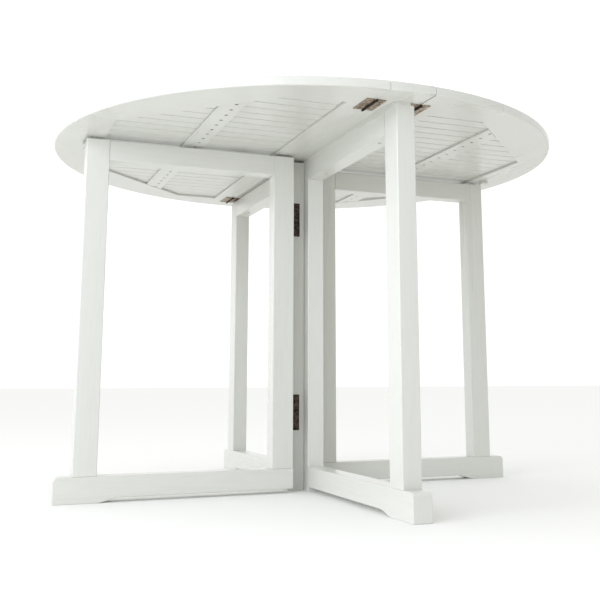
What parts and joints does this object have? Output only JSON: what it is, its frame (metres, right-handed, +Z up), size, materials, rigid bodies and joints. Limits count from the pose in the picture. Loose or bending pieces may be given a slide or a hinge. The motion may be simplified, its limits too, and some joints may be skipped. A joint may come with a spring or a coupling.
{
  "type": "gateleg table",
  "caption": "Round drop-leaf table in white painted wood: slatted leaves on a fixed strip, a slim centre frame and swinging gate legs that hold the leaves up.",
  "frame": {"origin": "on the floor, below the centre of the round top", "axes": "+Z up; Y along the fixed centre strip and the centre frame; X across it, so the leaves and the open gates lie along -X (left) and +X (right)"},
  "size_m": [1.1, 1.1, 0.74],
  "materials": {
    "painted_wood": "white satin paint over smooth wood",
    "bronzed_steel": "dark antique bronze plating",
    "screw_steel": "dark plated steel"
  },
  "bodies": {
    "centre": {"centre_strip": "painted_wood", "far_frame_central_post": "painted_wood", "far_frame_foot_rail": "painted_wood", "far_frame_hinge_post": "painted_wood", "far_frame_inner_rail_screw": "screw_steel", "far_frame_leg": "painted_wood", "far_frame_outer_rail_screw": "screw_steel", "far_frame_packing_strip": "painted_wood", "far_frame_top_rail": "painted_wood", "left_gate_lower_hinge_post_plate": "bronzed_steel", "left_gate_upper_hinge_post_plate": "bronzed_steel", "left_leaf_far_hinge_leaf_plate": "bronzed_steel", "left_leaf_far_hinge_strip_plate": "bronzed_steel", "left_leaf_hinge_stile": "painted_wood", "left_leaf_near_hinge_leaf_plate": "bronzed_steel", "left_leaf_near_hinge_strip_plate": "bronzed_steel", "left_leaf_rim_diagonal_far": "painted_wood", "left_leaf_rim_diagonal_near": "painted_wood", "left_leaf_rim_end_far": "painted_wood", "left_leaf_rim_end_near": "painted_wood", "left_leaf_rim_outer": "painted_wood", "left_leaf_slat_panel": "painted_wood", "left_leaf_stop_block": "painted_wood", "near_frame_central_post": "painted_wood", "near_frame_foot_rail": "painted_wood", "near_frame_hinge_post": "painted_wood", "near_frame_inner_rail_screw": "screw_steel", "near_frame_leg": "painted_wood", "near_frame_outer_rail_screw": "screw_steel", "near_frame_packing_strip": "painted_wood", "near_frame_top_rail": "painted_wood", "right_gate_lower_hinge_post_plate": "bronzed_steel", "right_gate_upper_hinge_post_plate": "bronzed_steel", "right_leaf_far_hinge_leaf_plate": "bronzed_steel", "right_leaf_far_hinge_strip_plate": "bronzed_steel", "right_leaf_hinge_stile": "painted_wood", "right_leaf_near_hinge_leaf_plate": "bronzed_steel", "right_leaf_near_hinge_strip_plate": "bronzed_steel", "right_leaf_rim_diagonal_far": "painted_wood", "right_leaf_rim_diagonal_near": "painted_wood", "right_leaf_rim_end_far": "painted_wood", "right_leaf_rim_end_near": "painted_wood", "right_leaf_rim_outer": "painted_wood", "right_leaf_slat_panel": "painted_wood", "right_leaf_stop_block": "painted_wood"},
    "left_gate": {"left_gate_foot_rail": "painted_wood", "left_gate_inner_post": "painted_wood", "left_gate_lower_hinge_gate_plate": "bronzed_steel", "left_gate_outer_leg": "painted_wood", "left_gate_top_rail": "painted_wood", "left_gate_upper_hinge_gate_plate": "bronzed_steel"},
    "right_gate": {"right_gate_foot_rail": "painted_wood", "right_gate_inner_post": "painted_wood", "right_gate_lower_hinge_gate_plate": "bronzed_steel", "right_gate_outer_leg": "painted_wood", "right_gate_top_rail": "painted_wood", "right_gate_upper_hinge_gate_plate": "bronzed_steel"}
  },
  "joints": [
    {"name": "left_gate_swing", "type": "hinge", "parent": "centre", "child": "left_gate", "pos_m": [-0.0428, -0.0285, 0.37], "axis": [0, 0, 1], "range_deg": [0, 90]},
    {"name": "right_gate_swing", "type": "hinge", "parent": "centre", "child": "right_gate", "pos_m": [0.0428, 0.0285, 0.37], "axis": [0, 0, 1], "range_deg": [0, 90]}
  ]
}
